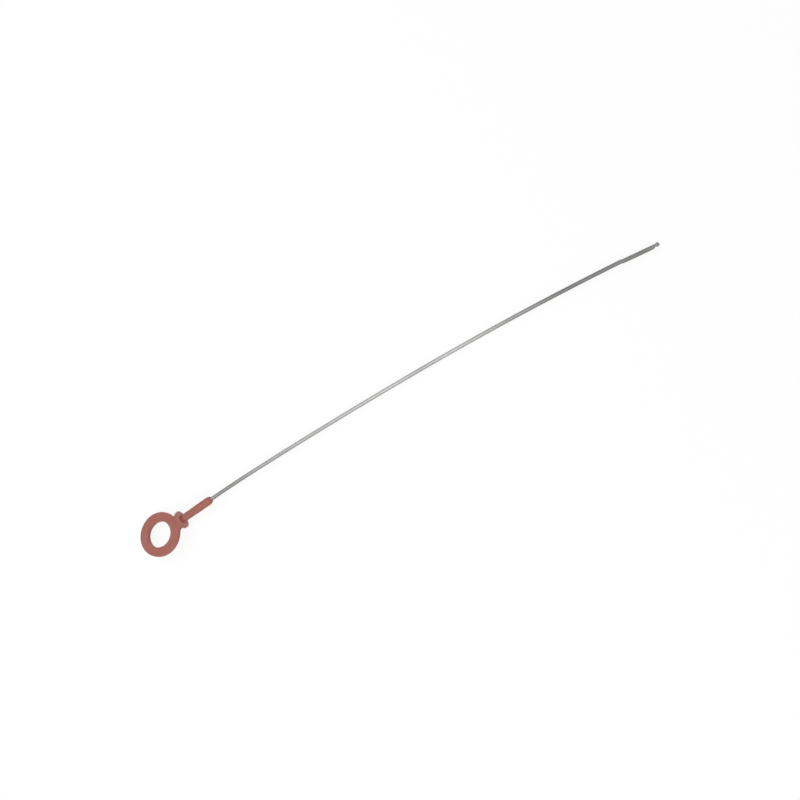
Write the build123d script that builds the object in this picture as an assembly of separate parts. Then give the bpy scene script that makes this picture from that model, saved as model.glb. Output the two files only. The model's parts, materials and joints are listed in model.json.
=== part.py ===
from build123d import *
import os
from math import acos, cos, degrees, hypot, pi, radians, sin, sqrt

# Engine oil dipstick: a bowed steel wire with a plastic handle moulded round its upper end.
# It is drawn with the finger ring flat in the XY plane, the ring's centre at the origin and the stem
# along +X, and is then laid down as it comes to rest on a level surface.
# Sizes are in millimetres, angles in degrees, densities in grams per cubic centimetre.

# Finger ring
RING_HOLE_D = 20.0
RING_BAND = 6.9
RING_THICK = 4.0
RING_EDGE_R = 0.8
RING_HOLE_BREAK = 0.5

# Flange that stops on the mouth of the guide tube
FLANGE_D = 13.8
FLANGE_THICK = 2.6
FLANGE_EDGE_BREAK = 0.4

# Neck from the ring to the flange, which stands proud of it by the step
NECK_LENGTH = 2.6
NECK_STEP = 1.4
NECK_CORNER_R = 2.6
NECK_ROOT_R = 0.4

# Stem that plugs the guide tube: a waist next to the flange, then a barrel with a tapered lead-in
WAIST_D = 5.9
WAIST_LENGTH = 11.0
WAIST_ROOT = 0.6
BARREL_TAPER = 1.5
BARREL_D = 6.2
BARREL_LENGTH = 12.7
LEAD_LENGTH = 2.4
LEAD_END_D = 4.6

# Round wire in the ring's plane: a slight bend where it leaves the stem, then a bow in two halves
WIRE_D = 2.8
START_BEND_R = 950.0
START_BEND_LENGTH = 40.0
UPPER_BOW_R = 3510.0
LOWER_BOW_R = 2190.0
BOW_HALF_LENGTH = 153.5

# Anchor inside the moulding: the wire's end, spread wider and pressed thinner
ANCHOR_WALL = 3.0
ANCHOR_LENGTH = 6.5
ANCHOR_SPREAD = 1.4
ANCHOR_PRESS = 1.2
ANCHOR_RUN = 2.5

# Upper mark: a joggle that sets the measuring blade off the wire's line and leaves it leaning
JOGGLE_OFFSET = 0.45
JOGGLE_R = 3.6
JOGGLE_LEAN = 1.35

# Measuring blade with two pressed flats
BLADE_LENGTH = 22.0
BLADE_SPREAD = 0.2
BLADE_PRESS = 0.3
BLADE_RUN = 1.2

# Lower mark: a neck back on the wire's own line, then the ball tip
TIP_NECK_D = 2.0
TIP_NECK_LENGTH = 1.9
TIP_BALL_D = 3.0

# Weights that decide how the part lies
PLASTIC_DENSITY = 1.14
STEEL_DENSITY = 7.85

# Places along the stem's axis, and sizes that follow from the ones above
ring_outer_r = RING_HOLE_D / 2 + RING_BAND
flange_back_x = ring_outer_r + NECK_LENGTH
seat_x = flange_back_x + FLANGE_THICK
waist_end_x = seat_x + WAIST_LENGTH
barrel_x = waist_end_x + BARREL_TAPER
lead_x = barrel_x + BARREL_LENGTH
stem_end_x = lead_x + LEAD_LENGTH
anchor_x = RING_HOLE_D / 2 + ANCHOR_WALL
flange_r = FLANGE_D / 2
neck_width = FLANGE_D - 2 * NECK_STEP
ball_r = TIP_BALL_D / 2
ball_x = TIP_NECK_LENGTH + sqrt(ball_r**2 - (TIP_NECK_D / 2) ** 2)


def finger_hole():
    """Hole through the ring, with a break along both edges."""
    hole_r = RING_HOLE_D / 2
    half = RING_THICK / 2
    upper = [(hole_r, half - RING_HOLE_BREAK), (hole_r + RING_HOLE_BREAK, half), (0, half)]
    lower = [(r, -z) for r, z in reversed(upper)]
    return revolve(Plane.XZ * make_face(Polyline(*upper, *lower, close=True)), Axis.Z)


def ring_and_neck():
    """Flat ring with a neck that runs into the flange, rounded along its outer edges."""
    neck_end_x = flange_back_x + FLANGE_THICK / 2
    neck = Pos(neck_end_x / 2, 0) * Rectangle(neck_end_x, neck_width)
    outline = Circle(ring_outer_r) + neck
    corners = outline.vertices().filter_by(lambda v: v.X < flange_back_x)
    plate = extrude(fillet(corners, NECK_CORNER_R), RING_THICK / 2, both=True)
    edges = plate.faces().filter_by(Axis.Z).edges()
    plate = fillet(edges.filter_by(lambda e: e.center().X < flange_back_x), RING_EDGE_R)
    return plate - finger_hole()


def flange_and_stem():
    """Turned form of the flange, waist, barrel and lead-in, about the X axis."""
    profile = Polyline(
        (flange_back_x, 0),
        (flange_back_x, flange_r - FLANGE_EDGE_BREAK),
        (flange_back_x + FLANGE_EDGE_BREAK, flange_r),
        (seat_x - FLANGE_EDGE_BREAK, flange_r),
        (seat_x, flange_r - FLANGE_EDGE_BREAK),
        (seat_x, WAIST_D / 2 + WAIST_ROOT),
        (seat_x + WAIST_ROOT, WAIST_D / 2),
        (waist_end_x, WAIST_D / 2),
        (barrel_x, BARREL_D / 2),
        (lead_x, BARREL_D / 2),
        (stem_end_x, LEAD_END_D / 2),
        (stem_end_x, 0),
        close=True,
    )
    return revolve(make_face(profile), Axis.X)


def moulding():
    """Ring, neck, flange and stem as one solid, with a fillet where the neck meets the flange."""
    body = ring_and_neck() + flange_and_stem()
    back = body.faces().filter_by(Axis.X).sort_by_distance((flange_back_x, flange_r, 0))[0]
    neck_corner = hypot(neck_width / 2 - RING_EDGE_R, RING_THICK / 2 - RING_EDGE_R) + RING_EDGE_R
    room = flange_r - FLANGE_EDGE_BREAK - neck_corner
    return fillet(back.inner_wires().edges(), min(NECK_ROOT_R, room / 2))


def pressed(length, spread, press, run):
    """Wire pressed flat along +X, with a square end at 0 and a run back to round at its far end."""
    wire_r = WIRE_D / 2
    wide = wire_r + spread / 2
    thin = wire_r - press / 2
    flat_x = length - run
    blank_half = [(0, 0), (0, wide), (flat_x, wide), (length, wire_r), (length, 0)]
    blank = revolve(make_face(Polyline(*blank_half, close=True)), Axis.X)
    upper = [(0, thin), (flat_x, thin), (length, wire_r)]
    lower = [(x, -z) for x, z in reversed(upper)]
    slab = extrude(Plane.XZ * make_face(Polyline(*upper, *lower, close=True)), wide, both=True)
    return blank & slab


def wire_line():
    """Middle line of the round wire: straight in the moulding, then its bends up to the blade."""
    joggle_turn = degrees(acos(1 - JOGGLE_OFFSET / (2 * JOGGLE_R)))
    bends = [
        (START_BEND_R, -degrees(START_BEND_LENGTH / START_BEND_R)),
        (UPPER_BOW_R, -degrees(BOW_HALF_LENGTH / UPPER_BOW_R)),
        (LOWER_BOW_R, -degrees(BOW_HALF_LENGTH / LOWER_BOW_R)),
        (JOGGLE_R, -joggle_turn),
        (JOGGLE_R, joggle_turn - JOGGLE_LEAN),
    ]
    pieces = [Line((anchor_x + ANCHOR_LENGTH, 0), (stem_end_x, 0))]
    for radius, turn in bends:
        pieces.append(JernArc(pieces[-1] @ 1, pieces[-1] % 1, radius, turn))
    return Wire(pieces)


def tip():
    """Neck and ball along +X, from the end of the blade."""
    neck = extrude(Plane.YZ * Circle(TIP_NECK_D / 2), ball_x)
    return Pos(0, JOGGLE_OFFSET, 0) * (neck + Pos(ball_x, 0, 0) * Sphere(ball_r))


def steel_wire(line):
    """The whole wire, from the anchor in the moulding to the ball."""
    rod = sweep(Plane(line @ 0, z_dir=line % 0) * Circle(WIRE_D / 2), line)
    anchor = Pos(anchor_x, 0, 0) * pressed(ANCHOR_LENGTH, ANCHOR_SPREAD, ANCHOR_PRESS, ANCHOR_RUN)
    onward = Plane(line @ 1, x_dir=line % 1, z_dir=(0, 0, 1))
    blade = Rot(0, 0, 180) * pressed(BLADE_LENGTH, BLADE_SPREAD, BLADE_PRESS, BLADE_RUN)
    return anchor + rod + onward * Pos(BLADE_LENGTH, 0, 0) * (blade + tip())


def feelers(line):
    """Points on the outside of the part, as (x, y, z, radius), that can touch the surface it lies on."""
    turn = [2 * pi * step / 90 for step in range(90)]
    ring_r = ring_outer_r - RING_EDGE_R
    ring_z = RING_EDGE_R - RING_THICK / 2
    rims_x = (flange_back_x + FLANGE_EDGE_BREAK, seat_x - FLANGE_EDGE_BREAK)
    points = [(ring_r * cos(a), ring_r * sin(a), ring_z, RING_EDGE_R) for a in turn]
    points += [(x, flange_r * cos(a), flange_r * sin(a), 0) for x in rims_x for a in turn]
    points += [(*(line @ (step / 200)), WIRE_D / 2) for step in range(201)]
    onward = Plane(line @ 1, x_dir=line % 1, z_dir=(0, 0, 1))
    ball = onward.from_local_coords((BLADE_LENGTH + ball_x, JOGGLE_OFFSET, 0))
    return points + [(*ball, ball_r)]


def least(function, low, high):
    """Where a function with a single dip between two limits is lowest."""
    for _ in range(32):
        third = (high - low) / 3
        if function(low + third) < function(high - third):
            high -= third
        else:
            low += third
    return (low + high) / 2


def resting_up(points, mass_centre):
    """Upward direction, in the drawing's frame, with the centre of mass as low as it can sink."""
    def up(roll, pitch):
        return (-sin(pitch), -sin(roll) * cos(pitch), cos(roll) * cos(pitch))

    def height(roll, pitch):
        ux, uy, uz = up(roll, pitch)
        lowest = min(x * ux + y * uy + z * uz - r for x, y, z, r in points)
        return mass_centre.dot(Vector(ux, uy, uz)) - lowest

    def pitch_at(roll):
        return least(lambda pitch: height(roll, pitch), radians(-10), radians(10))

    roll = least(lambda turn: height(turn, pitch_at(turn)), 0, radians(45))
    return up(roll, pitch_at(roll))


line = wire_line()
wire = steel_wire(line)
handle = moulding() - wire

# Laid down to rest, with the origin under the middle of its box and the stem pointing along +X
plastic_mass = handle.volume * PLASTIC_DENSITY
steel_mass = wire.volume * STEEL_DENSITY
mass_centre = (handle.center() * plastic_mass + wire.center() * steel_mass) / (plastic_mass + steel_mass)
table = Plane((0, 0, 0), x_dir=(1, 0, 0), z_dir=resting_up(feelers(line), mass_centre))
turned = table.location.inverse()
box = (turned * Compound([handle, wire])).bounding_box()
laid = Pos(-box.center().X, -box.center().Y, -box.min.Z) * turned
handle = laid * handle
wire = laid * wire

os.makedirs("parts", exist_ok=True)
export_step(handle, "parts/handle.step")
export_step(wire, "parts/wire.step")
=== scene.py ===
import json
from math import acos, asin, atan2, copysign, cos, hypot, pi, radians, sin, sqrt

import bmesh
import bpy
from bpy.props import FloatProperty, FloatVectorProperty, IntProperty, PointerProperty
from mathutils import Matrix, Vector


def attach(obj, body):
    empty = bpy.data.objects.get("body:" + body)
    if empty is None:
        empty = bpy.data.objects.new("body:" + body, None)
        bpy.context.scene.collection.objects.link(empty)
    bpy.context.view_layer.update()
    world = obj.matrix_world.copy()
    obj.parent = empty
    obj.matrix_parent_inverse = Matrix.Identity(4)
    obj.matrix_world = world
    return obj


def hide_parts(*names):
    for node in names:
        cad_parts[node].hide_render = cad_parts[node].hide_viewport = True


bl_info = {
    "name": "Engine Oil Dipstick",
    "version": (1, 0, 0),
    "blender": (4, 5, 0),
    "location": "3D View > Sidebar > Dipstick",
    "description": "Models a wire dipstick with a moulded ring handle and sets it on a studio floor",
    "category": "Add Mesh",
}

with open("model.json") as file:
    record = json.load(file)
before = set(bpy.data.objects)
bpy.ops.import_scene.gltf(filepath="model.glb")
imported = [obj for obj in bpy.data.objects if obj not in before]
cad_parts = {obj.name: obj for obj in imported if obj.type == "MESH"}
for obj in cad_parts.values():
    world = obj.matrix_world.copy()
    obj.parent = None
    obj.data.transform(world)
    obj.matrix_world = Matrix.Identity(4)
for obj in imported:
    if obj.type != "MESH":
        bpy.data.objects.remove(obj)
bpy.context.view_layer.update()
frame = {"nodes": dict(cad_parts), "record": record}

BODY = "root"
MM = 0.001
TINY = 1e-6
# Angles between two faces that lie flat, are shaded smoothly or meet in a sharp edge
FLAT = radians(1)
SMOOTH = radians(35)
SHARP = radians(60)
# Places of the Mix node's colour sockets, which share their names with its other sockets
MIX_FIRST = 6
MIX_SECOND = 7
MIX_RESULT = 2
MOUNTS = {mount["name"]: mount for mount in frame["record"]["mounts"]}


def lay_down():
    """The move from the handle's own axes to the frame: ring centre at 0, stem along X, ring axis Z."""
    along = Vector(MOUNTS["stem"]["axis"])
    across = Vector(MOUNTS["finger_ring"]["axis"])
    turn = Matrix((along, across.cross(along), across)).transposed()
    return Matrix.Translation(MOUNTS["finger_ring"]["pos_m"]) @ turn.to_4x4()


def own_place(point):
    """A place in the frame, seen in the handle's own axes."""
    return LAID.inverted() @ Vector(point)


def own_box(node):
    """Lowest and highest corner of a CAD node in the handle's own axes."""
    places = [own_place(vertex.co) for vertex in frame["nodes"][node].data.vertices]
    return Vector(map(min, zip(*places))), Vector(map(max, zip(*places)))


LAID = lay_down()
HANDLE_LOW, HANDLE_HIGH = own_box("handle")
WIRE_LOW = own_box("wire")[0]
HOLE = MOUNTS["finger_ring"]["dims"]
BARREL = MOUNTS["stem"]["dims"]
BARREL_MIDDLE = own_place(MOUNTS["stem"]["pos_m"]).x
SEAT = own_place(MOUNTS["seat"]["pos_m"]).x


def length(name, description, default):
    """A property that holds a length in metres."""
    return FloatProperty(name=name, description=description, default=default, unit="LENGTH", precision=6)


def count(name, description, default):
    """A property that holds a number of steps or copies."""
    return IntProperty(name=name, description=description, default=default, min=1)


def angle(name, description, default):
    """A property that holds an angle, given here in degrees."""
    return FloatProperty(name=name, description=description, default=radians(default), subtype="ANGLE")


def share(name, description, default):
    """A property that holds a value from 0 to 1."""
    return FloatProperty(name=name, description=description, default=default, min=0, max=1, subtype="FACTOR")


def tint(name, description, default):
    """A property that holds a linear colour."""
    return FloatVectorProperty(
        name=name, description=description, default=default, subtype="COLOR", min=0, max=1)


class HandleSizes(bpy.types.PropertyGroup):
    """Sizes of the moulded handle."""
    hole_radius: length("Hole radius", "Radius of the finger hole", HOLE["r_mm"] * MM)
    hole_edge: length("Hole edge", "Rounding along the edges of the finger hole", 0.5 * MM)
    hole_wall: length("Hole wall", "Straight wall of the finger hole", HOLE["length_mm"] * MM)
    ring_radius: length("Ring radius", "Outer radius of the finger ring", -HANDLE_LOW.x)
    ring_edge: length("Ring edge", "Rounding along the outer edges of the ring and neck", 0.8 * MM)
    neck_width: length("Neck width", "Width of the neck between ring and flange", 11.0 * MM)
    neck_corner: length("Neck corner", "Radius where the neck runs into the ring", 2.6 * MM)
    neck_root: length("Neck root", "Fillet where the neck meets the flange", 0.4 * MM)
    flange_radius: length("Flange radius", "Radius of the stop flange", HANDLE_HIGH.z)
    flange_thickness: length("Flange thickness", "Thickness of the stop flange", 2.6 * MM)
    flange_edge: length("Flange edge", "Rounding along the edges of the flange", 0.4 * MM)
    seat: length("Seat", "From the ring's centre to the flange's seat", SEAT)
    waist_radius: length("Waist radius", "Radius of the stem next to the flange", 2.95 * MM)
    waist_root: length("Waist root", "Fillet where the stem meets the flange", 0.6 * MM)
    barrel_taper: length("Barrel taper", "Run from the waist to the barrel", 1.5 * MM)
    taper_edge: length("Taper edge", "Rounding at both ends of the barrel's taper", 0.5 * MM)
    barrel_radius: length("Barrel radius", "Radius of the stem's barrel", BARREL["r_mm"] * MM)
    barrel_length: length("Barrel length", "Straight length of the barrel", BARREL["length_mm"] * MM)
    barrel_middle: length("Barrel middle", "From the ring's centre to the barrel's middle", BARREL_MIDDLE)
    stem_end: length("Stem end", "From the ring's centre to the end of the stem", HANDLE_HIGH.x)
    lead_radius: length("Lead-in radius", "Radius of the stem's end", 2.3 * MM)
    lead_edge: length("Lead-in edge", "Rounding along the stem's end", 0.5 * MM)
    turned_steps: count("Turned steps", "Steps round the flange and stem", 112)
    ring_steps: count("Ring steps", "Steps round the ring", 144)
    corner_steps: count("Corner steps", "Steps in a rounded edge", 5)
    flash_height: length("Flash height", "Height of the parting line's ridge", 0.05 * MM)
    flash_width: length("Flash width", "Width of the parting line's ridge", 0.3 * MM)
    pin_radius: length("Pin radius", "Radius of an ejector pin's mark", 1.25 * MM)
    pin_depth: length("Pin depth", "Depth of an ejector pin's mark", 0.12 * MM)
    pin_steps: count("Pin steps", "Steps round an ejector pin's mark", 40)
    pin_count: count("Pins", "Ejector pin marks on the underside of the ring", 4)


class WireSizes(bpy.types.PropertyGroup):
    """Sizes of the formed steel wire."""
    radius: length("Wire radius", "Radius of the round wire", 1.4 * MM)
    sides: count("Wire sides", "Steps round the wire", 80)
    start_radius: length("Start radius", "Radius of the slight bend where the wire leaves the stem", 950 * MM)
    start_length: length("Start length", "Length of the slight bend where the wire leaves the stem", 40 * MM)
    upper_bow: length("Upper bow", "Radius of the bow's upper half", 3510 * MM)
    lower_bow: length("Lower bow", "Radius of the bow's lower half", 2190 * MM)
    bow_half: length("Bow half", "Length of each half of the bow", 153.5 * MM)
    bow_steps: count("Bow steps", "Steps along each half of the bow", 45)
    anchor_start: length("Anchor start", "From the ring's centre to the wire's hidden end", WIRE_LOW.x)
    anchor_length: length("Anchor length", "Length of the pressed anchor in the moulding", 6.5 * MM)
    anchor_spread: length("Anchor spread", "Extra width of the anchor", 1.4 * MM)
    anchor_press: length("Anchor press", "Thickness that is pressed out of the anchor", 1.2 * MM)
    anchor_run: length("Anchor run", "Run from the anchor back to round wire", 2.5 * MM)
    joggle_offset: length("Joggle offset", "How far the blade is set off the wire's line", 0.45 * MM)
    joggle_radius: length("Joggle radius", "Bend radius of the joggle", 3.6 * MM)
    joggle_lean: angle("Joggle lean", "Lean that the joggle leaves in the blade", 1.35)
    joggle_steps: count("Joggle steps", "Steps in each bend of the joggle", 8)
    blade_length: length("Blade length", "Length of the measuring blade", 22.0 * MM)
    blade_spread: length("Blade spread", "Extra width of the blade", 0.2 * MM)
    blade_press: length("Blade press", "Thickness that is pressed out of the blade", 0.3 * MM)
    blade_run: length("Blade run", "Run from round wire to the blade's flats", 1.2 * MM)
    blade_steps: count("Blade steps", "Steps along the blade's flats", 200)
    slope_lead: length("Slope lead", "How far before its end the blade starts to slope off", 0.5 * MM)
    slope_length: length("Slope length", "Length of the slope from the blade to the neck", 1.9 * MM)
    slope_end: length("Slope end", "Radius at the end of the slope, inside the neck", 0.96 * MM)
    slope_steps: count("Slope steps", "Steps along the slope", 10)
    hatch_pitch: length("Hatch pitch", "Distance between the blade's cross-hatch grooves", 1.3 * MM)
    hatch_width: length("Hatch width", "Half the width of a groove", 0.16 * MM)
    hatch_depth: length("Hatch depth", "Depth of a groove", 0.09 * MM)
    hatch_margin: length("Hatch margin", "Plain flat left at each end of the hatch", 1.2 * MM)
    neck_radius: length("Tip neck radius", "Radius of the neck before the ball", 1.0 * MM)
    neck_length: length("Tip neck length", "Length of the neck before the ball", 1.9 * MM)
    ball_radius: length("Ball radius", "Radius of the ball tip", 1.5 * MM)
    ball_steps: count("Ball steps", "Steps along the ball from the neck to its end", 20)


class Finish(bpy.types.PropertyGroup):
    """Colours, roughness and wear of the two materials, and the shade and sheen that are painted into them.
    """
    plastic: tint("Plastic", "Colour of the moulded handle", (0.308, 0.093, 0.065))
    # Paler plastic, both for real fading and for the sheen painted on the flange's front
    plastic_faded_and_sheen: tint("Faded plastic", "Colour where the plastic is rubbed or faded", (0.39, 0.157, 0.129))
    # Painted shade: a darker red that stands for the shade in inner corners and at the foot of the stem
    plastic_painted_shade: tint("Deep plastic", "Colour in corners and at the foot of the stem", (0.3, 0.036, 0.016))
    plastic_clouds: share("Plastic clouds", "Strength of the fading in broad clouds", 0.3)
    edge_wear: share("Edge wear", "Strength of the fading along rubbed edges", 0.6)
    # Painted shade: how strongly inner corners and the foot of the stem are darkened, and how far that
    # reaches
    corner_shade: share("Corner depth", "Strength of the deep colour in corners", 0.7)
    foot_shade_reach: length("Foot reach", "How far the deep colour spreads from the foot of the stem", 2.0 * MM)
    foot_shade_strength: share("Foot depth", "Strength of the deep colour at the foot of the stem", 0.7)
    # Painted sheen: the flange's front, outside the stem's foot, paled for the light it catches
    seat_sheen: share("Seat wear", "Strength of the fading where the flange sits on its tube", 0.8)
    scuff_wear: share("Scuff wear", "Strength of the fading in scuffs", 0.5)
    plastic_rough: share("Plastic roughness", "Roughness of the smoothest plastic", 0.3)
    plastic_rough_clouds: share("Rough clouds", "Added roughness in the plastic's clouds", 0.12)
    steel: tint("Steel", "Colour of the drawn wire", (0.417, 0.417, 0.412))
    steel_dull: tint("Dull steel", "Colour of the wire's duller lines and patches", (0.267, 0.265, 0.26))
    broad_lines: share("Broad lines", "Strength of the dulling in broad drawn lines", 0.3)
    fine_lines: share("Fine lines", "Strength of the dulling in fine drawn lines", 0.25)
    steel_clouds: share("Steel clouds", "Strength of the dulling in patches", 0.35)
    steel_rough: share("Steel roughness", "Roughness of the smoothest steel", 0.38)
    steel_rough_lines: share("Rough lines", "Added roughness in the steel's fine lines", 0.12)
    steel_rough_clouds: share("Rough patches", "Added roughness in the steel's patches", 0.1)
    # Painted shade: darker colours for the wire's far end, where the light falls off along the wire, and
    # where that shade begins and is full
    tip_shade: tint("Oiled steel", "Colour of the end that stands in hot oil", (0.238, 0.236, 0.232))
    tip_shade_dull: tint("Dull oiled steel", "Colour of its duller lines and patches", (0.137, 0.135, 0.131))
    tip_shade_start: length("Oil start", "From the ring's centre to where the darkening begins", 262 * MM)
    tip_shade_full: length("Oil end", "From the ring's centre to where the darkening is full", 355 * MM)
    # Painted shade: the wire is also darkened towards the stem, where the light falls off
    handle_shade_end: length("Grime end", "From the ring's centre to where the grime below the stem ends", 165 * MM)
    handle_shade: share("Grime", "Strength of the grime below the stem", 0.65)
    tip_wear_length: length("Tip wear length", "Length of the tip that is rubbed bright", 10.0 * MM)
    tip_wear: share("Tip wear", "Strength of the rubbing at the tip", 0.4)
    relief: length("Relief", "Height of the fine grain", 0.02 * MM)
    relief_strength: share("Relief strength", "Strength of the grain and scuffs", 0.5)


class StageSet(bpy.types.PropertyGroup):
    """Camera, floor, sky and lamp."""
    azimuth: angle("Azimuth", "Turn of the camera round the part, 0 looks along +Y", 73.83)
    elevation: angle("Elevation", "Height of the camera above the horizon", 73.78)
    roll: angle("Roll", "Turn of the picture about the line of sight", -107.91)
    distance: length("Distance", "Distance from the camera to the point that it looks at", 1013.3 * MM)
    aim_x: length("Aim X", "Point on the floor that the camera looks at, along X", 8.19 * MM)
    aim_y: length("Aim Y", "Point on the floor that the camera looks at, along Y", -10.42 * MM)
    lens: FloatProperty(name="Lens", description="Focal length in millimetres", default=63.72)
    sensor: FloatProperty(name="Sensor", description="Sensor width in millimetres", default=36.0)
    floor_size: length("Floor size", "Side of the square floor", 8.0)
    floor: tint("Floor", "Colour of the floor", (0.95, 0.95, 0.95))
    white_share: share("White share", "How much of the floor that is seen is plain white", 0.85)
    sky: FloatProperty(
        name="Sky", description="Strength of the sky's light where it isn't seen or mirrored", default=0.72)
    strip_width: length("Strip width", "Width of the strip lamp, along the wire", 0.15)
    strip_length: length("Strip length", "Length of the strip lamp, across the wire", 3.5)
    strip_height: length("Strip height", "Height of the strip lamp above the floor", 1.0)
    strip_x: length("Strip X", "Place of the strip lamp along the wire", -0.25)
    strip_power: FloatProperty(
        name="Strip power", description="Power of the strip lamp", default=9.0, unit="POWER")


def start_vertex(name, place):
    """A new object in edit mode with a single vertex, ready to be extruded or spun."""
    bpy.ops.object.select_all(action="DESELECT")
    bpy.ops.mesh.primitive_plane_add(size=MM)
    bpy.context.object.name = name
    bpy.ops.object.mode_set(mode="EDIT")
    bpy.ops.mesh.select_mode(type="VERT")
    bpy.ops.mesh.merge(type="CENTER")
    bpy.ops.transform.translate(value=place)


def edit_mesh():
    """The mesh that is open in edit mode."""
    return bmesh.from_edit_mesh(bpy.context.edit_object.data)


def select_where(kind, test):
    """Selects only the vertices, edges or faces that pass a test, in edit mode."""
    bpy.ops.mesh.select_mode(type=kind)
    bpy.ops.mesh.select_all(action="DESELECT")
    mesh = edit_mesh()
    elements = {"VERT": mesh.verts, "EDGE": mesh.edges, "FACE": mesh.faces}[kind]
    for element in elements:
        if test(element):
            element.select_set(True)
    mesh.select_flush_mode()
    bmesh.update_edit_mesh(bpy.context.edit_object.data)


def selected_place():
    """Middle of the selected vertices."""
    places = [vertex.co for vertex in edit_mesh().verts if vertex.select]
    return sum(places, Vector()) / len(places)


def draw_to(place):
    """Extrudes the selection in a straight line until its middle is at a place."""
    step = Vector(place) - selected_place()
    bpy.ops.mesh.extrude_region_move(TRANSFORM_OT_translate={"value": step})


def draw_arc(centre, turn, steps, axis=(0, 0, 1)):
    """Extrudes the selection along an arc, counter-clockwise for a positive turn."""
    bpy.ops.mesh.spin(steps=steps, angle=-turn, center=centre, axis=axis)


def resize(factor, centre):
    """Scales the selection about a centre."""
    bpy.ops.transform.resize(value=factor, center_override=centre)


def tidy_mesh():
    """Merges doubled vertices and points all faces outwards."""
    bpy.ops.mesh.select_mode(type="VERT")
    bpy.ops.mesh.select_all(action="SELECT")
    bpy.ops.mesh.remove_doubles(threshold=TINY)
    bpy.ops.mesh.normals_make_consistent(inside=False)


def leave_edit():
    """Closes edit mode and returns the object."""
    bpy.ops.object.mode_set(mode="OBJECT")
    return bpy.context.object


def enter_edit(piece):
    """Opens a piece in edit mode, with nothing else selected."""
    bpy.ops.object.select_all(action="DESELECT")
    bpy.context.view_layer.objects.active = piece
    piece.select_set(True)
    bpy.ops.object.mode_set(mode="EDIT")


def combine(piece, tool, operation):
    """Joins a piece with a tool, or cuts it by the tool, and removes the tool."""
    bpy.ops.object.select_all(action="DESELECT")
    bpy.context.view_layer.objects.active = piece
    modifier = piece.modifiers.new("Combine", "BOOLEAN")
    modifier.operation = operation
    modifier.solver = "EXACT"
    modifier.object = tool
    bpy.ops.object.modifier_apply(modifier=modifier.name)
    bpy.data.objects.remove(tool)


def turned_piece(name, corners, steps, corner_steps):
    """A solid turned about the X axis, from corners given as (x, radius, rounding)."""
    start_vertex(name, (corners[0][0], corners[0][1], 0))
    for x, radius, _ in corners[1:]:
        draw_to((x, radius, 0))
    for x, radius, rounding in corners:
        if rounding:
            corner = Vector((x, radius, 0))
            select_where("VERT", lambda vertex: (vertex.co - corner).length < TINY)
            bpy.ops.mesh.bevel(offset=rounding, segments=corner_steps, affect="VERTICES")
    bpy.ops.mesh.select_all(action="SELECT")
    draw_arc((0, 0, 0), 2 * pi, steps, axis=(1, 0, 0))
    tidy_mesh()
    return leave_edit()


def ring_outline(sizes, neck_end):
    """Draws the outline of the ring and neck, and the hole, as edges at the height of the underside."""
    half_neck = sizes.neck_width / 2
    reach = sizes.ring_radius + sizes.neck_corner
    corner_y = half_neck + sizes.neck_corner
    corner_x = sqrt(reach**2 - corner_y**2)
    meet = asin(corner_y / reach)
    corner_turn = pi / 2 - meet
    base = -sizes.hole_wall / 2 - sizes.hole_edge
    start_vertex("plate", (neck_end, -half_neck, base))
    draw_to((corner_x, -half_neck, base))
    draw_arc((corner_x, -corner_y, base), corner_turn, sizes.corner_steps * 2)
    draw_arc((0, 0, base), 2 * meet - 2 * pi, sizes.ring_steps)
    draw_arc((corner_x, corner_y, base), corner_turn, sizes.corner_steps * 2)
    draw_to((neck_end, half_neck, base))
    select_where("VERT", lambda vertex: abs(vertex.co.x - neck_end) < TINY)
    bpy.ops.mesh.edge_face_add()
    bpy.ops.mesh.primitive_circle_add(
        vertices=sizes.ring_steps, radius=sizes.hole_radius, location=(0, 0, base))


def ring_plate(sizes, neck_end):
    """Flat ring with its neck, rounded along the edges."""
    thickness = sizes.hole_wall + 2 * sizes.hole_edge
    ring_outline(sizes, neck_end)
    bpy.ops.mesh.select_all(action="SELECT")
    bpy.ops.mesh.fill(use_beauty=True)
    bpy.ops.mesh.dissolve_limited(angle_limit=FLAT)
    bpy.ops.mesh.select_all(action="SELECT")
    bpy.ops.mesh.extrude_region_move(TRANSFORM_OT_translate={"value": (0, 0, thickness)})
    tidy_mesh()

    def rim(edge, inside):
        middle = (edge.verts[0].co + edge.verts[1].co) / 2
        flat = all(abs(abs(vertex.co.z) - thickness / 2) < TINY for vertex in edge.verts)
        sharp = flat and edge.calc_face_angle(0) > SHARP
        return sharp and (middle.xy.length < sizes.hole_radius + TINY) == inside

    select_where("EDGE", lambda edge: rim(edge, inside=False))
    bpy.ops.mesh.bevel(offset=sizes.ring_edge, segments=sizes.corner_steps, affect="EDGES")
    select_where("EDGE", lambda edge: rim(edge, inside=True))
    bpy.ops.mesh.bevel(offset=sizes.hole_edge, segments=sizes.corner_steps, affect="EDGES")
    return leave_edit()


def flange_and_stem(sizes):
    """Turned flange, waist, barrel and lead-in."""
    back = sizes.seat - sizes.flange_thickness
    barrel_start = sizes.barrel_middle - sizes.barrel_length / 2
    barrel_end = sizes.barrel_middle + sizes.barrel_length / 2
    corners = [
        (back, 0, 0),
        (back, sizes.flange_radius, sizes.flange_edge),
        (sizes.seat, sizes.flange_radius, sizes.flange_edge),
        (sizes.seat, sizes.waist_radius, sizes.waist_root),
        (barrel_start - sizes.barrel_taper, sizes.waist_radius, sizes.taper_edge),
        (barrel_start, sizes.barrel_radius, sizes.taper_edge),
        (barrel_end, sizes.barrel_radius, sizes.lead_edge),
        (sizes.stem_end, sizes.lead_radius, sizes.lead_edge),
        (sizes.stem_end, 0, 0),
    ]
    return turned_piece("stem", corners, sizes.turned_steps, sizes.corner_steps)


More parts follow.
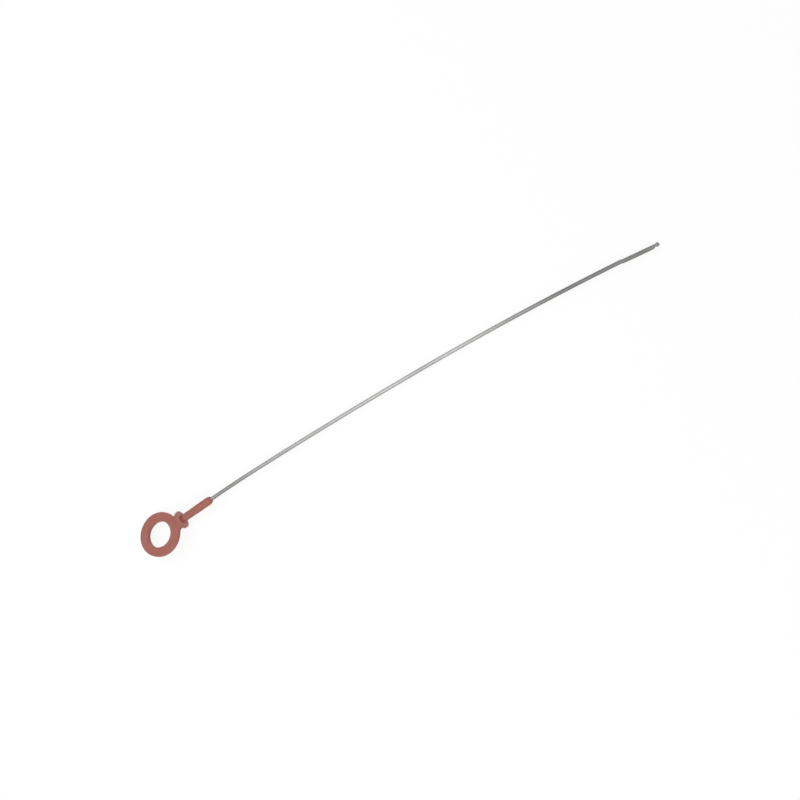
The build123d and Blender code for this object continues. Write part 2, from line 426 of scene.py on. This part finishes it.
def flare_neck(plate, sizes):
    """Flares the end of the neck like a fillet, where it runs into the flange's back."""
    back = sizes.seat - sizes.flange_thickness
    half_width = sizes.neck_width / 2
    half_thickness = sizes.hole_wall / 2 + sizes.hole_edge
    enter_edit(plate)
    for step in range(sizes.corner_steps):
        run = (step + 1) / sizes.corner_steps
        x = back - (1 - run) * sizes.neck_root
        rise = sizes.neck_root * (1 - sqrt(1 - run**2))
        bpy.ops.mesh.select_all(action="SELECT")
        bpy.ops.mesh.bisect(plane_co=(x, 0, 0), plane_no=(1, 0, 0))
        select_where("VERT", lambda vertex: abs(vertex.co.x - x) < TINY)
        resize((1, 1 + rise / half_width, 1 + rise / half_thickness), (x, 0, 0))
    leave_edit()


def raise_flash(handle, sizes):
    """Raises the fine ridge that the two halves of the mould leave along the middle plane."""
    enter_edit(handle)
    for height in (-sizes.flash_width / 2, 0, sizes.flash_width / 2):
        bpy.ops.mesh.select_all(action="SELECT")
        bpy.ops.mesh.bisect(plane_co=(0, 0, height), plane_no=(0, 0, 1))
    tidy_mesh()
    select_where("VERT", lambda vertex: abs(vertex.co.z) < TINY)
    bpy.ops.transform.shrink_fatten(value=sizes.flash_height)
    leave_edit()


def press_pin_marks(handle, sizes):
    """Sinks the round marks of the ejector pins into the underside of the ring."""
    middle = (sizes.ring_radius + sizes.hole_radius) / 2
    underside = -sizes.hole_wall / 2 - sizes.hole_edge
    for number in range(sizes.pin_count):
        turn = (2 * number + 1) * pi / sizes.pin_count
        bpy.ops.object.select_all(action="DESELECT")
        bpy.ops.mesh.primitive_cylinder_add(
            vertices=sizes.pin_steps, radius=sizes.pin_radius, depth=2 * sizes.pin_depth,
            location=(middle * cos(turn), middle * sin(turn), underside))
        combine(handle, bpy.context.object, "DIFFERENCE")


def bow_bends(sizes):
    """The bends of the bow from the stem's end on, as (radius, turn, steps)."""
    return [
        (sizes.start_radius, -sizes.start_length / sizes.start_radius, sizes.bow_steps),
        (sizes.upper_bow, -sizes.bow_half / sizes.upper_bow, sizes.bow_steps),
        (sizes.lower_bow, -sizes.bow_half / sizes.lower_bow, sizes.bow_steps),
    ]


def joggle_bends(sizes):
    """The two bends of the joggle, as (radius, turn, steps)."""
    turn = acos(1 - sizes.joggle_offset / (2 * sizes.joggle_radius))
    return [
        (sizes.joggle_radius, -turn, sizes.joggle_steps),
        (sizes.joggle_radius, turn - sizes.joggle_lean, sizes.joggle_steps),
    ]


def bend_axes(bends, stem_end):
    """Axes at each bend's start and at the last one's end: X along the wire, Z across the bow's plane."""
    axes = [Matrix.Translation((stem_end, 0, 0))]
    for radius, turn, _ in bends:
        centre = Matrix.Translation((0, copysign(radius, turn), 0))
        axes.append(axes[-1] @ centre @ Matrix.Rotation(turn, 4, "Z") @ centre.inverted())
    return axes


def straight_anchor(sizes, stem_end):
    """Starts the wire: pressed anchor, still round, and the straight stretch in the moulding."""
    wide = sizes.radius + sizes.anchor_spread / 2
    round_start = sizes.anchor_start + sizes.anchor_length
    bpy.ops.object.select_all(action="DESELECT")
    bpy.ops.mesh.primitive_circle_add(
        vertices=sizes.sides, radius=wide, fill_type="NGON", location=(sizes.anchor_start, 0, 0),
        rotation=(0, pi / 2, 0))
    bpy.ops.object.transform_apply(location=True, rotation=True, scale=True)
    bpy.ops.object.mode_set(mode="EDIT")
    bpy.ops.mesh.select_mode(type="FACE")
    bpy.ops.mesh.select_all(action="SELECT")
    draw_to((round_start - sizes.anchor_run, 0, 0))
    draw_to((round_start, 0, 0))
    resize((1, sizes.radius / wide, sizes.radius / wide), (round_start, 0, 0))
    draw_to((stem_end, 0, 0))


def round_blade(sizes, axes):
    """Goes on from the joggle with the blade, which is still round, and slopes its end off into the neck."""
    wide = sizes.radius + sizes.blade_spread / 2
    flat_end = sizes.blade_length - sizes.slope_lead
    flat_length = flat_end - sizes.blade_run
    draw_to(axes @ Vector((sizes.blade_run, 0, 0)))
    resize((wide / sizes.radius,) * 3, axes @ Vector((sizes.blade_run, 0, 0)))
    for step in range(sizes.blade_steps):
        draw_to(axes @ Vector((sizes.blade_run + flat_length * (step + 1) / sizes.blade_steps, 0, 0)))
    radius = wide
    for step in range(sizes.slope_steps):
        run = (step + 1) / sizes.slope_steps
        eased = (1 - cos(pi * run)) / 2
        place = axes @ Vector((flat_end + run * sizes.slope_length, eased * sizes.joggle_offset, 0))
        smaller = wide + eased * (sizes.slope_end - wide)
        draw_to(place)
        resize((smaller / radius,) * 3, place)
        radius = smaller


def press_flat(axes, start, end, half_thickness):
    """Presses the wire flat on both sides, between two places along the X axis of some axes."""
    own = axes.inverted()
    for side in (-1, 1):
        select_where("VERT", lambda vertex: side * vertex.co.z > half_thickness
                     and start - TINY < (own @ vertex.co).x < end + TINY)
        resize((1, 1, 0), (0, 0, side * half_thickness))


def cut_hatch(sizes, axes, half_thickness):
    """Sinks a cross-hatch of fine grooves into both flats of the blade."""
    own = axes.inverted()
    first = sizes.blade_run + sizes.hatch_margin
    last = sizes.blade_length - sizes.hatch_margin

    def depth(place):
        slants = ((place.x + place.y) / sqrt(2), (place.x - place.y) / sqrt(2))
        away = min(abs(slant - sizes.hatch_pitch * round(slant / sizes.hatch_pitch)) for slant in slants)
        return sizes.hatch_depth * max(0, 1 - away / sizes.hatch_width)

    mesh = edit_mesh()
    for vertex in mesh.verts:
        place = own @ vertex.co
        if first < place.x < last and abs(abs(place.z) - half_thickness) < TINY:
            vertex.co.z -= depth(place) * (1 if place.z > 0 else -1)
    bmesh.update_edit_mesh(bpy.context.edit_object.data)


def ball_tip(sizes, axes):
    """Neck and ball, turned and set at the blade's end, back on the wire's own line."""
    overlap = sizes.neck_radius / 2
    meet = asin(sizes.neck_radius / sizes.ball_radius)
    ball_x = sizes.neck_length + sizes.ball_radius * cos(meet)
    start_vertex("tip", (-overlap, 0, 0))
    draw_to((-overlap, sizes.neck_radius, 0))
    draw_to((sizes.neck_length, sizes.neck_radius, 0))
    draw_arc((ball_x, 0, 0), meet - pi, sizes.ball_steps)
    bpy.ops.mesh.select_all(action="SELECT")
    draw_arc((0, 0, 0), 2 * pi, sizes.sides, axis=(1, 0, 0))
    tidy_mesh()
    tip = leave_edit()
    tip.matrix_world = axes @ Matrix.Translation((sizes.blade_length, sizes.joggle_offset, 0))
    bpy.ops.object.transform_apply(location=True, rotation=True, scale=True)
    return tip


def steel_wire(sizes, stem_end):
    """The whole wire in the handle's own axes, from the anchor to the ball."""
    bends = bow_bends(sizes) + joggle_bends(sizes)
    *starts, axes = bend_axes(bends, stem_end)
    anchor_thin = sizes.radius - sizes.anchor_press / 2
    blade_thin = sizes.radius - sizes.blade_press / 2
    flat_end = sizes.anchor_start + sizes.anchor_length - sizes.anchor_run
    straight_anchor(sizes, stem_end)
    for start, (radius, turn, steps) in zip(starts, bends):
        draw_arc(start @ Vector((0, copysign(radius, turn), 0)), turn, steps)
    round_blade(sizes, axes)
    tidy_mesh()
    press_flat(Matrix.Identity(4), sizes.anchor_start, flat_end, anchor_thin)
    press_flat(axes, sizes.blade_run, sizes.blade_length + sizes.slope_length, blade_thin)
    cut_hatch(sizes, axes, blade_thin)
    wire = leave_edit()
    combine(wire, ball_tip(sizes, axes), "UNION")
    return wire


def unbowed(place, bends, axes, stem_end):
    """Where a place on the wire lay before the wire was bowed."""
    run = stem_end
    for start, (radius, turn, _) in zip(axes, bends):
        local = start.inverted() @ place
        bend = atan2(local.x, local.y + radius)
        if bend < -turn:
            return run + bend * radius, hypot(local.x, local.y + radius) - radius, local.z
        run -= turn * radius
    local = axes[-1].inverted() @ place
    return run + local.x, local.y, local.z


def note_drawn_places(wire, sizes, stem_end):
    """Keeps each vertex's place on the wire before it was bowed, and returns how far the tip then reached."""
    bends = bow_bends(sizes)
    axes = bend_axes(bends, stem_end)
    places = []
    for vertex in wire.data.vertices:
        places += unbowed(vertex.co, bends, axes, stem_end)
    wire.data.attributes.new("drawn", "FLOAT_VECTOR", "POINT").data.foreach_set("vector", places)
    return max(places[0::3])


def add_node(tree, kind, values=None, **settings):
    """A new node, with its settings and the values of its inputs."""
    node = tree.nodes.new(kind)
    for name, value in settings.items():
        setattr(node, name, value)
    for name, value in (values or {}).items():
        node.inputs[name].default_value = value
    return node


def new_group(name, inputs, outputs):
    """A shader node group with named sockets, and its two end nodes."""
    group = bpy.data.node_groups.new(name, "ShaderNodeTree")
    for socket, kind, default in inputs:
        made = group.interface.new_socket(socket, in_out="INPUT", socket_type=kind)
        if default is not None:
            made.default_value = default
    for socket, kind in outputs:
        group.interface.new_socket(socket, in_out="OUTPUT", socket_type=kind)
    return group, group.nodes.new("NodeGroupInput"), group.nodes.new("NodeGroupOutput")


def grain_group():
    """Fine grain and broad cloudiness, both from 0 to 1."""
    group, given, result = new_group(
        "Grain",
        [("Vector", "NodeSocketVector", None), ("Fine Scale", "NodeSocketFloat", 6.0),
         ("Broad Scale", "NodeSocketFloat", 0.2)],
        [("Fine", "NodeSocketFloat"), ("Broad", "NodeSocketFloat")])
    links = group.links
    for name, detail in (("Fine", 3.0), ("Broad", 4.0)):
        noise = add_node(group, "ShaderNodeTexNoise", {"Detail": detail, "Roughness": 0.55})
        spread = add_node(group, "ShaderNodeMapRange", {"From Min": 0.3, "From Max": 0.7})
        links.new(given.outputs["Vector"], noise.inputs["Vector"])
        links.new(given.outputs[name + " Scale"], noise.inputs["Scale"])
        links.new(noise.outputs["Fac"], spread.inputs["Value"])
        links.new(spread.outputs["Result"], result.inputs[name])
    return group


def scuff_group():
    """Thin scratches in two directions, broken up into patches, as a mask."""
    group, given, result = new_group(
        "Scuffs",
        [("Vector", "NodeSocketVector", None), ("Scale", "NodeSocketFloat", 1.0),
         ("Cover", "NodeSocketFloat", 0.5)],
        [("Mask", "NodeSocketFloat")])
    links = group.links
    patch = add_node(group, "ShaderNodeTexNoise", {"Scale": 0.35, "Detail": 2.0})
    patched = add_node(group, "ShaderNodeMapRange", {"From Min": 0.5, "From Max": 0.62})
    links.new(given.outputs["Vector"], patch.inputs["Vector"])
    links.new(patch.outputs["Fac"], patched.inputs["Value"])
    masks = []
    for turn in (0.4, -0.9):
        laid = add_node(group, "ShaderNodeMapping", {"Rotation": (0.3, 0.2, turn), "Scale": (0.25, 9.0, 9.0)})
        lines = add_node(group, "ShaderNodeTexNoise", {"Detail": 1.0})
        thin = add_node(group, "ShaderNodeMapRange", {"From Min": 0.66, "From Max": 0.72})
        links.new(given.outputs["Vector"], laid.inputs["Vector"])
        links.new(laid.outputs["Vector"], lines.inputs["Vector"])
        links.new(given.outputs["Scale"], lines.inputs["Scale"])
        links.new(lines.outputs["Fac"], thin.inputs["Value"])
        masks.append(thin)
    either = add_node(group, "ShaderNodeMath", operation="MAXIMUM")
    within = add_node(group, "ShaderNodeMath", operation="MULTIPLY")
    covered = add_node(group, "ShaderNodeMath", operation="MULTIPLY")
    links.new(masks[0].outputs["Result"], either.inputs[0])
    links.new(masks[1].outputs["Result"], either.inputs[1])
    links.new(either.outputs["Value"], within.inputs[0])
    links.new(patched.outputs["Result"], within.inputs[1])
    links.new(within.outputs["Value"], covered.inputs[0])
    links.new(given.outputs["Cover"], covered.inputs[1])
    links.new(covered.outputs["Value"], result.inputs["Mask"])
    return group


def edge_group():
    """Masks for rubbed outer edges and for inner corners, where shade is painted, from the bend of the
    surface.
    """
    group, given, result = new_group(
        "Edges",
        [("Break Up", "NodeSocketFloat", 0.5)],
        [("Rubbed", "NodeSocketFloat"), ("Corner Shade", "NodeSocketFloat")])
    links = group.links
    surface = add_node(group, "ShaderNodeNewGeometry")
    rubbed = add_node(group, "ShaderNodeMapRange", {"From Min": 0.52, "From Max": 0.6})
    # Inner corners, where shade is painted
    corner = add_node(group, "ShaderNodeMapRange", {"From Min": 0.48, "From Max": 0.4})
    broken = add_node(group, "ShaderNodeMath", operation="MULTIPLY")
    links.new(surface.outputs["Pointiness"], rubbed.inputs["Value"])
    links.new(surface.outputs["Pointiness"], corner.inputs["Value"])
    links.new(rubbed.outputs["Result"], broken.inputs[0])
    links.new(given.outputs["Break Up"], broken.inputs[1])
    links.new(broken.outputs["Value"], result.inputs["Rubbed"])
    links.new(corner.outputs["Result"], result.inputs["Corner Shade"])
    return group


def shared_groups():
    """The node groups that both materials use, made once."""
    makers = {"Grain": grain_group, "Scuffs": scuff_group, "Edges": edge_group}
    return {name: bpy.data.node_groups.get(name) or make() for name, make in makers.items()}


def place_group(tree, name, values=None):
    """A shared group in a material, with the material's own values."""
    return add_node(tree, "ShaderNodeGroup", values, node_tree=shared_groups()[name])


def new_material(name):
    """An empty material with a Principled BSDF on its output."""
    material = bpy.data.materials.new(name)
    material.use_nodes = True
    tree = material.node_tree
    tree.nodes.clear()
    shader = add_node(tree, "ShaderNodeBsdfPrincipled")
    output = add_node(tree, "ShaderNodeOutputMaterial")
    tree.links.new(shader.outputs["BSDF"], output.inputs["Surface"])
    return material, tree, shader


def mix_colour(tree, amount, first, second):
    """Mixes two colours, each given as a value or as a socket, by a mask."""
    mix = add_node(tree, "ShaderNodeMix", data_type="RGBA")
    tree.links.new(amount, mix.inputs["Factor"])
    for place, given in ((MIX_FIRST, first), (MIX_SECOND, second)):
        if isinstance(given, bpy.types.NodeSocket):
            tree.links.new(given, mix.inputs[place])
        else:
            mix.inputs[place].default_value = (*given, 1)
    return mix.outputs[MIX_RESULT]


def scaled(tree, value, factor, add=0.0):
    """A value times a factor, plus a constant."""
    node = add_node(tree, "ShaderNodeMath", operation="MULTIPLY_ADD")
    tree.links.new(value, node.inputs[0])
    node.inputs[1].default_value = factor
    node.inputs[2].default_value = add
    return node.outputs["Value"]


def summed(tree, first, second):
    """The sum of two values."""
    node = add_node(tree, "ShaderNodeMath", operation="ADD")
    tree.links.new(first, node.inputs[0])
    tree.links.new(second, node.inputs[1])
    return node.outputs["Value"]


def product(tree, first, second):
    """The product of two values."""
    node = add_node(tree, "ShaderNodeMath", operation="MULTIPLY")
    tree.links.new(first, node.inputs[0])
    tree.links.new(second, node.inputs[1])
    return node.outputs["Value"]


def ramp(tree, value, start, end):
    """A mask that rises smoothly from 0 where the value is at the start to 1 where it is at the end."""
    node = add_node(
        tree, "ShaderNodeMapRange", {"From Min": start, "From Max": end}, interpolation_type="SMOOTHSTEP")
    tree.links.new(value, node.inputs["Value"])
    return node.outputs["Result"]


def own_coordinates(tree):
    """Object coordinates turned into the handle's own axes, in millimetres."""
    place = add_node(tree, "ShaderNodeTexCoord")
    back = LAID.inverted()
    to_own = add_node(tree, "ShaderNodeMapping", {
        "Location": back.to_translation() / MM, "Rotation": back.to_euler(), "Scale": (1 / MM,) * 3})
    tree.links.new(place.outputs["Object"], to_own.inputs["Vector"])
    return to_own.outputs["Vector"]


def add_relief(tree, shader, finish, grain, scuffs):
    """Raises a fine grain and sinks scuffs into it, as a bump on the shader."""
    bump = add_node(
        tree, "ShaderNodeBump", {"Strength": finish.relief_strength, "Distance": finish.relief})
    tree.links.new(summed(tree, grain, scuffs), bump.inputs["Height"])
    tree.links.new(bump.outputs["Normal"], shader.inputs["Normal"])


def seat_masks(tree, place, sizes, reach):
    """Masks for the foot of the stem, where shade is painted, and for the seat outside it, where a sheen is
    painted, from coordinates in millimetres.
    """
    seat = sizes.seat / MM
    waist = sizes.waist_radius / MM
    edge = sizes.flange_edge / MM
    apart = add_node(tree, "ShaderNodeSeparateXYZ")
    aside = add_node(tree, "ShaderNodeVectorMath", {1: (0, 1, 1)}, operation="MULTIPLY")
    away = add_node(tree, "ShaderNodeVectorMath", operation="LENGTH")
    tree.links.new(place, apart.inputs["Vector"])
    tree.links.new(place, aside.inputs[0])
    tree.links.new(aside.outputs["Vector"], away.inputs[0])
    # The first mask is for painted shade at the foot of the stem, the second for a painted sheen on the
    # flange's front
    front = ramp(tree, apart.outputs["X"], seat - edge, seat)
    along = ramp(tree, apart.outputs["X"], seat + reach, seat)
    near = ramp(tree, away.outputs["Value"], waist + reach, waist)
    far = ramp(tree, away.outputs["Value"], waist, waist + reach)
    return product(tree, product(tree, front, along), near), product(tree, front, far)


def moulded_plastic(finish, sizes):
    """Brick-red moulded plastic: satin skin, fine mould grain, cloudy colour, rubbed edges and scuffs, with
    shade painted into corners and at the foot of the stem and a sheen painted on the flange's front.
    """
    material, tree, shader = new_material("moulded_plastic")
    links = tree.links
    place = own_coordinates(tree)
    grain = place_group(tree, "Grain", {"Fine Scale": 5.0, "Broad Scale": 0.16})
    scuffs = place_group(tree, "Scuffs", {"Scale": 0.8, "Cover": 0.6})
    edges = place_group(tree, "Edges")
    for group in (grain, scuffs):
        links.new(place, group.inputs["Vector"])
    links.new(grain.outputs["Broad"], edges.inputs["Break Up"])
    # Masks for the shade painted at the foot of the stem and the sheen painted on the flange's front
    foot, seat = seat_masks(tree, place, sizes, finish.foot_shade_reach / MM)
    layers = (
        (grain.outputs["Broad"], finish.plastic_clouds, finish.plastic_faded_and_sheen),
        (edges.outputs["Rubbed"], finish.edge_wear, finish.plastic_faded_and_sheen),
        # Painted shade in inner corners and at the foot of the stem
        (edges.outputs["Corner Shade"], finish.corner_shade, finish.plastic_painted_shade),
        (foot, finish.foot_shade_strength, finish.plastic_painted_shade),
        # Painted sheen on the flange's front
        (seat, finish.seat_sheen, finish.plastic_faded_and_sheen),
        (scuffs.outputs["Mask"], finish.scuff_wear, finish.plastic_faded_and_sheen),
    )
    colour = finish.plastic
    for mask, strength, changed in layers:
        colour = mix_colour(tree, scaled(tree, mask, strength), colour, changed)
    rough = scaled(tree, grain.outputs["Broad"], finish.plastic_rough_clouds, finish.plastic_rough)
    links.new(colour, shader.inputs["Base Color"])
    links.new(rough, shader.inputs["Roughness"])
    add_relief(tree, shader, finish, grain.outputs["Fine"], scaled(tree, scuffs.outputs["Mask"], -1.5))
    shader.inputs["Specular IOR Level"].default_value = 0.4
    return material


def drawn_steel(finish, stem_end, tip_end):
    """Drawn steel wire: fine lines along it, dull patches, a few scratches, and shade painted towards both
    ends where the light falls off along the wire.
    """
    material, tree, shader = new_material("drawn_steel")
    links = tree.links
    line_scale = Vector((0.05, 1.6, 1.6)) / MM
    patch_scale = Vector((0.2, 0.5, 0.5)) / MM
    drawn = add_node(tree, "ShaderNodeAttribute", attribute_name="drawn")
    lines = add_node(tree, "ShaderNodeMapping", {"Scale": line_scale})
    patches = add_node(tree, "ShaderNodeMapping", {"Scale": patch_scale})
    links.new(drawn.outputs["Vector"], lines.inputs["Vector"])
    links.new(drawn.outputs["Vector"], patches.inputs["Vector"])
    grain = place_group(tree, "Grain", {"Fine Scale": 5.0, "Broad Scale": 1.2})
    clouds = place_group(tree, "Grain", {"Fine Scale": 2.0, "Broad Scale": 0.12})
    scuffs = place_group(tree, "Scuffs", {"Scale": 1.5, "Cover": 0.7})
    links.new(lines.outputs["Vector"], grain.inputs["Vector"])
    links.new(patches.outputs["Vector"], clouds.inputs["Vector"])
    links.new(own_coordinates(tree), scuffs.inputs["Vector"])
    broad = scaled(tree, grain.outputs["Broad"], finish.broad_lines)
    fine = scaled(tree, grain.outputs["Fine"], finish.fine_lines)
    patchy = scaled(tree, clouds.outputs["Broad"], finish.steel_clouds)
    dull = summed(tree, summed(tree, broad, fine), patchy)
    colour = mix_colour(tree, dull, finish.steel, finish.steel_dull)
    along = add_node(tree, "ShaderNodeSeparateXYZ")
    links.new(drawn.outputs["Vector"], along.inputs["Vector"])
    # Painted shade, darker towards the wire's far end where the light falls off along it
    tip_shade = ramp(tree, along.outputs["X"], finish.tip_shade_start, finish.tip_shade_full)
    # Painted shade, darker towards the stem where the light falls off too
    handle_shaded = scaled(tree, ramp(tree, along.outputs["X"], finish.handle_shade_end, stem_end), finish.handle_shade)
    dark = mix_colour(tree, dull, finish.tip_shade, finish.tip_shade_dull)
    darkened = mix_colour(tree, summed(tree, tip_shade, handle_shaded), colour, dark)
    wear_start = tip_end - finish.tip_wear_length
    worn = scaled(tree, ramp(tree, along.outputs["X"], wear_start, tip_end), finish.tip_wear)
    colour = mix_colour(tree, worn, darkened, colour)
    rough_patches = scaled(tree, clouds.outputs["Broad"], finish.steel_rough_clouds, finish.steel_rough)
    rough_lines = scaled(tree, grain.outputs["Fine"], finish.steel_rough_lines)
    links.new(colour, shader.inputs["Base Color"])
    links.new(summed(tree, rough_patches, rough_lines), shader.inputs["Roughness"])
    add_relief(tree, shader, finish, grain.outputs["Fine"], scaled(tree, scuffs.outputs["Mask"], -1.0))
    shader.inputs["Metallic"].default_value = 1.0
    return material


def hand_over(piece, name, material, node):
    """Lays a finished piece where its CAD node lies, and lets it stand for that node."""
    bpy.ops.object.select_all(action="DESELECT")
    bpy.context.view_layer.objects.active = piece
    piece.select_set(True)
    piece.name = name
    piece.data.name = name
    piece.matrix_world = LAID
    bpy.ops.object.transform_apply(location=True, rotation=True, scale=True)
    bpy.ops.object.shade_smooth_by_angle(angle=SMOOTH)
    weighted = piece.modifiers.new("Flat faces stay flat", "WEIGHTED_NORMAL")
    weighted.keep_sharp = True
    bpy.ops.object.modifier_apply(modifier=weighted.name)
    piece.data.materials.clear()
    piece.data.materials.append(material)
    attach(piece, BODY)
    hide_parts(node)


class DIPSTICK_OT_wire(bpy.types.Operator):
    """Draw, bow and press the steel wire"""
    bl_idname = "dipstick.wire"
    bl_label = "Form Wire"

    def execute(self, context):
        sizes = context.scene.dipstick_wire
        stem_end = context.scene.dipstick_handle.stem_end
        wire = steel_wire(sizes, stem_end)
        tip_end = note_drawn_places(wire, sizes, stem_end)
        steel = drawn_steel(context.scene.dipstick_finish, stem_end, tip_end)
        hand_over(wire, "formed_wire", steel, "wire")
        return {"FINISHED"}


class DIPSTICK_OT_handle(bpy.types.Operator):
    """Mould the ring, neck, flange and stem"""
    bl_idname = "dipstick.handle"
    bl_label = "Mould Handle"

    def execute(self, context):
        sizes = context.scene.dipstick_handle
        handle = ring_plate(sizes, sizes.seat - sizes.flange_thickness / 2)
        flare_neck(handle, sizes)
        combine(handle, flange_and_stem(sizes), "UNION")
        raise_flash(handle, sizes)
        press_pin_marks(handle, sizes)
        combine(handle, steel_wire(context.scene.dipstick_wire, sizes.stem_end), "DIFFERENCE")
        plastic = moulded_plastic(context.scene.dipstick_finish, sizes)
        hand_over(handle, "moulded_handle", plastic, "handle")
        return {"FINISHED"}


def seen_rays(tree):
    """1 for rays that the camera sees straight, mirrored or through glass, and 0 for all others."""
    path = add_node(tree, "ShaderNodeLightPath")
    seen = summed(tree, path.outputs["Is Camera Ray"], path.outputs["Is Glossy Ray"])
    return ramp(tree, summed(tree, seen, path.outputs["Is Transmission Ray"]), 0, 1)


def floor_material(stage):
    """Pale floor that shows white and keeps the part's shadow."""
    material, tree, shader = new_material("pale_floor")
    links = tree.links
    shader.inputs["Base Color"].default_value = (*stage.floor, 1)
    shader.inputs["Roughness"].default_value = 0.9
    shader.inputs["Specular IOR Level"].default_value = 0.0
    glow = add_node(tree, "ShaderNodeEmission", {"Strength": 1.0})
    mix = add_node(tree, "ShaderNodeMixShader")
    links.new(scaled(tree, seen_rays(tree), stage.white_share), mix.inputs["Fac"])
    links.new(shader.outputs["BSDF"], mix.inputs[1])
    links.new(glow.outputs["Emission"], mix.inputs[2])
    output = tree.nodes["Material Output"]
    links.new(mix.outputs["Shader"], output.inputs["Surface"])
    return material


def studio_world(stage):
    """Even light from all round, from a sky that is seen as plain white."""
    world = bpy.data.worlds.new("studio")
    world.use_nodes = True
    tree = world.node_tree
    background = tree.nodes["Background"]
    background.inputs["Color"].default_value = (1, 1, 1, 1)
    strength = scaled(tree, seen_rays(tree), 1 - stage.sky, stage.sky)
    tree.links.new(strength, background.inputs["Strength"])
    return world


def add_strip_lamp(stage):
    """A long soft lamp that hangs across the wire and shines down."""
    bpy.ops.object.light_add(type="AREA", location=(stage.strip_x, 0, stage.strip_height))
    lamp = bpy.context.object
    lamp.name = "strip_lamp"
    lamp.data.shape = "RECTANGLE"
    lamp.data.size = stage.strip_width
    lamp.data.size_y = stage.strip_length
    lamp.data.energy = stage.strip_power


def add_camera(stage):
    """The camera, from its turn, height, roll and distance."""
    aim = Vector((stage.aim_x, stage.aim_y, 0))
    level = cos(stage.elevation)
    back = Vector((level * sin(stage.azimuth), -level * cos(stage.azimuth), sin(stage.elevation)))
    bpy.ops.object.camera_add(location=aim + stage.distance * back)
    camera = bpy.context.object
    facing = (-back).to_track_quat("-Z", "Y").to_matrix()
    camera.rotation_euler = (facing @ Matrix.Rotation(stage.roll, 3, "Z")).to_euler()
    camera.data.lens = stage.lens
    camera.data.sensor_width = stage.sensor
    bpy.context.scene.camera = camera


class DIPSTICK_OT_stage(bpy.types.Operator):
    """Set the camera, floor, world and lamp"""
    bl_idname = "dipstick.stage"
    bl_label = "Set Stage"

    def execute(self, context):
        stage = context.scene.dipstick_stage
        bpy.ops.object.select_all(action="DESELECT")
        bpy.ops.mesh.primitive_plane_add(size=stage.floor_size)
        floor = context.object
        floor.name = "floor"
        floor.data.materials.append(floor_material(stage))
        context.scene.world = studio_world(stage)
        add_strip_lamp(stage)
        add_camera(stage)
        context.scene.view_settings.view_transform = "Standard"
        return {"FINISHED"}


class DIPSTICK_PT_panel(bpy.types.Panel):
    """Sizes, finishes and operators of the dipstick"""
    bl_idname = "DIPSTICK_PT_panel"
    bl_label = "Dipstick"
    bl_space_type = "VIEW_3D"
    bl_region_type = "UI"
    bl_category = "Dipstick"

    def draw(self, context):
        steps = (
            ("dipstick.wire", "dipstick_wire"),
            ("dipstick.handle", "dipstick_handle"),
            ("dipstick.stage", "dipstick_stage"),
        )
        for operator, group in steps:
            box = self.layout.box()
            settings = getattr(context.scene, group)
            for name in settings.__annotations__:
                box.prop(settings, name)
            box.operator(operator)
        finish = context.scene.dipstick_finish
        for name in finish.__annotations__:
            self.layout.prop(finish, name)


GROUPS = {
    "dipstick_handle": HandleSizes,
    "dipstick_wire": WireSizes,
    "dipstick_finish": Finish,
    "dipstick_stage": StageSet,
}
CLASSES = (*GROUPS.values(), DIPSTICK_OT_wire, DIPSTICK_OT_handle, DIPSTICK_OT_stage, DIPSTICK_PT_panel)


def register():
    """Registers the classes and hangs the settings on the scene."""
    for item in CLASSES:
        bpy.utils.register_class(item)
    for name, group in GROUPS.items():
        setattr(bpy.types.Scene, name, PointerProperty(type=group))


def unregister():
    """Takes the settings and classes away again."""
    for name in GROUPS:
        delattr(bpy.types.Scene, name)
    for item in reversed(CLASSES):
        bpy.utils.unregister_class(item)


def main():
    """Builds the part and its stage."""
    register()
    bpy.ops.dipstick.wire()
    bpy.ops.dipstick.handle()
    bpy.ops.dipstick.stage()


if __name__ == "__main__":
    main()
